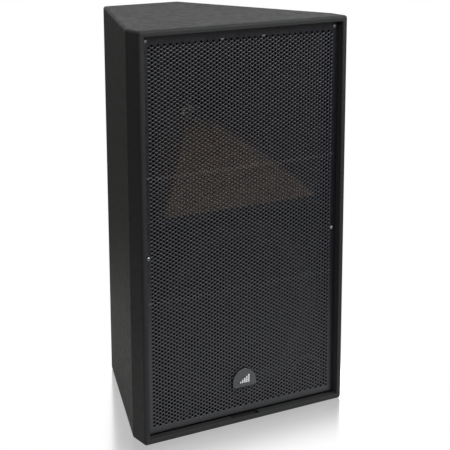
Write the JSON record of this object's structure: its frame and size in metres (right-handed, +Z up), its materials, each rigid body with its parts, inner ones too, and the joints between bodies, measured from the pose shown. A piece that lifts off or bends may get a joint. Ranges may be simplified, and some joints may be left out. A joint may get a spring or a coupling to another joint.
{
  "type": "pa speaker cabinet",
  "caption": "Trapezoid plywood loudspeaker cabinet with a recessed perforated steel grille, a woofer, a horn with compression driver, ports and a rear input dish.",
  "frame": {"origin": "on the floor, under the middle of the cabinet's bounding box", "axes": "+Z up, the grille faces -Y, +X to the right of someone who looks at the grille"},
  "size_m": [0.49, 0.434, 0.836],
  "materials": {
    "painted_ply": "textured black paint on plywood",
    "painted_baffle": "flat black paint on plywood",
    "raw_ply": "bare birch plywood",
    "wadding": "polyester wadding",
    "port_plastic": "fine-grained moulding",
    "grille_steel": "satin grey-black powder coat",
    "zinc_screw": "zinc plated",
    "black_screw": "blackened steel",
    "badge_plastic": "satin moulded",
    "cast_basket": "black crinkle coat on die casting",
    "gasket_cork": "pressed cork and rubber",
    "terminal_parts": "moulded block with plated posts",
    "plated_steel": "passivated steel",
    "ferrite": "ground ferrite",
    "cone_paper": "ribbed pulp with black dope",
    "surround_cloth": "doped pleated cloth",
    "spider_cloth": "resin cured cotton",
    "copper_coil": "varnished winding",
    "horn_moulding": "brown wood-filled moulding",
    "titanium": "formed foil",
    "driver_moulding": "moulded",
    "circuit_board": "phenolic board",
    "coil_winding": "enamelled wire",
    "capacitor_film": "yellow film",
    "resistor_ceramic": "white cement",
    "dish_plastic": "fine-grained moulding",
    "socket_plastic": "glass-filled nylon",
    "switch_plastic": "moulded",
    "slider_plastic": "red moulded",
    "insert_steel": "zinc plated",
    "cable_grey": "soft cable sheath",
    "cable_black": "soft cable sheath",
    "cable_brown": "soft cable sheath"
  },
  "bodies": {
    "cabinet": {"back_panel": "painted_ply", "badge": "badge_plastic", "badge_clips": "zinc_screw", "baffle": "painted_baffle", "baffle_battens": "raw_ply", "bottom_panel": "painted_ply", "cross_brace": "raw_ply", "crossover_board": "circuit_board", "crossover_capacitors": "capacitor_film", "crossover_coils": "coil_winding", "crossover_resistors": "resistor_ceramic", "crossover_standoffs": "zinc_screw", "dish_screws": "zinc_screw", "driver_bolts": "black_screw", "driver_clamp_ring": "driver_moulding", "driver_front_plate": "plated_steel", "driver_magnet": "ferrite", "driver_rear_cover": "driver_moulding", "driver_top_plate": "plated_steel", "grille": "grille_steel", "grille_battens": "painted_baffle", "grille_screws": "zinc_screw", "horn_cable": "cable_brown", "horn_flare": "horn_moulding", "horn_screws": "black_screw", "input_cable": "cable_grey", "input_dish": "dish_plastic", "input_socket": "socket_plastic", "left_angled_panel": "painted_ply", "left_side_panel": "painted_ply", "lining_back": "wadding", "lining_left": "wadding", "lining_right": "wadding", "lining_top": "wadding", "link_socket": "socket_plastic", "mode_switch_body": "switch_plastic", "rear_insert": "insert_steel", "reflex_port_left": "port_plastic", "reflex_port_right": "port_plastic", "right_angled_panel": "painted_ply", "right_side_panel": "painted_ply", "socket_screws": "zinc_screw", "top_panel": "painted_ply", "woofer_back_plate": "plated_steel", "woofer_basket": "cast_basket", "woofer_cable": "cable_black", "woofer_gasket": "gasket_cork", "woofer_magnet": "ferrite", "woofer_screws": "black_screw", "woofer_terminals": "terminal_parts", "woofer_top_plate": "plated_steel"},
    "woofer_piston": {"woofer_surround": "surround_cloth", "woofer_cone": "cone_paper", "woofer_dust_cap": "cone_paper", "woofer_voice_coil": "copper_coil", "woofer_spider": "spider_cloth"},
    "driver_dome": {"driver_diaphragm": "titanium"},
    "mode_slider": {"mode_switch_slider": "slider_plastic"}
  },
  "joints": [
    {"name": "woofer_excursion", "type": "slide", "parent": "cabinet", "child": "woofer_piston", "axis": [0, -1, 0], "range_m": [-0.005, 0.005], "stiffness_N_per_m": 6000},
    {"name": "driver_excursion", "type": "slide", "parent": "cabinet", "child": "driver_dome", "axis": [0, -1, 0], "range_m": [-0.0004, 0.0004], "stiffness_N_per_m": 4000},
    {"name": "mode_switch", "type": "slide", "parent": "cabinet", "child": "mode_slider", "axis": [1, 0, 0], "range_m": [0, 0.008]}
  ]
}
